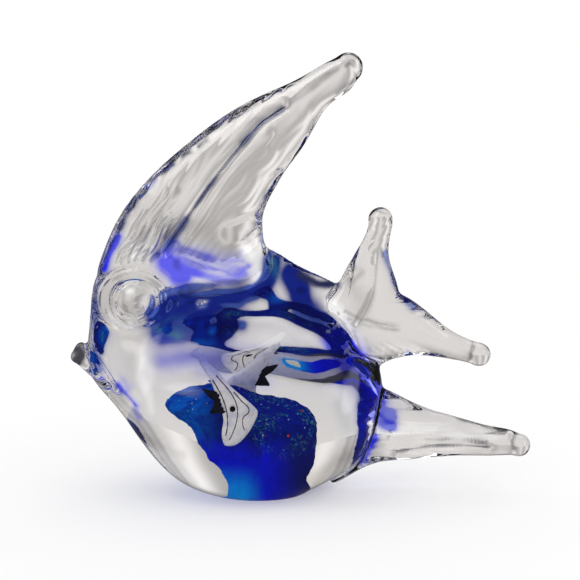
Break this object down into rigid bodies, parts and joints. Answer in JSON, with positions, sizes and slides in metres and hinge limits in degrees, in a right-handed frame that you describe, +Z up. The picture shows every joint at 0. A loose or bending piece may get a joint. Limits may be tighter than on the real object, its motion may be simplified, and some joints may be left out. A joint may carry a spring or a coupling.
{
  "type": "fish figurine",
  "caption": "Solid clear glass angelfish ornament with sickle dorsal fin, forked tail and a cobalt ground and two small white fish inside; stands on a flat base.",
  "frame": {"origin": "middle of the flat base that the ornament stands on", "axes": "+X from the mouth to the tail, +Y to the flank away from the picture's viewer, +Z up"},
  "size_m": [0.1344, 0.0477, 0.1278],
  "materials": {
    "clear_body": "clear fire-polished glass, colourless with a faint cool grey",
    "clear_dorsal": "clear fire-polished glass, colourless with a faint cool grey",
    "clear_tail": "clear fire-polished glass, colourless with a faint cool grey",
    "clear_lower_fin": "clear fire-polished glass, colourless with a faint cool grey",
    "clear_lips": "clear fire-polished glass, colourless with a faint cool grey",
    "clear_eye_left": "clear fire-polished glass, colourless with a faint cool grey",
    "clear_eye_right": "clear fire-polished glass, colourless with a faint cool grey",
    "cobalt": "dense cobalt blue glass with a fine bright speckle",
    "fleck_red": "mirror-coated red flecks",
    "fleck_green": "mirror-coated green flecks",
    "fleck_silver": "silvery flecks",
    "white_near": "dense white glass",
    "black_near": "dense black glass",
    "threads_near": "dark plum glass threads",
    "eye_near": "dense black glass",
    "white_far": "dense white glass",
    "black_far": "dense black glass",
    "threads_far": "dark plum glass threads",
    "eye_far": "dense black glass"
  },
  "bodies": {
    "root": {"body_casing": "clear_body", "dorsal_fin": "clear_dorsal", "tail_fin": "clear_tail", "lower_fin": "clear_lower_fin", "lips": "clear_lips", "eye_left": "clear_eye_left", "eye_right": "clear_eye_right", "cobalt_ground": "cobalt", "flecks_red": "fleck_red", "flecks_green": "fleck_green", "flecks_silver": "fleck_silver", "near_fish": "white_near", "near_fish_tail": "black_near", "near_fish_threads": "threads_near", "near_fish_eye": "eye_near", "far_fish": "white_far", "far_fish_tail": "black_far", "far_fish_threads": "threads_far", "far_fish_eye": "eye_far"}
  },
  "joints": []
}
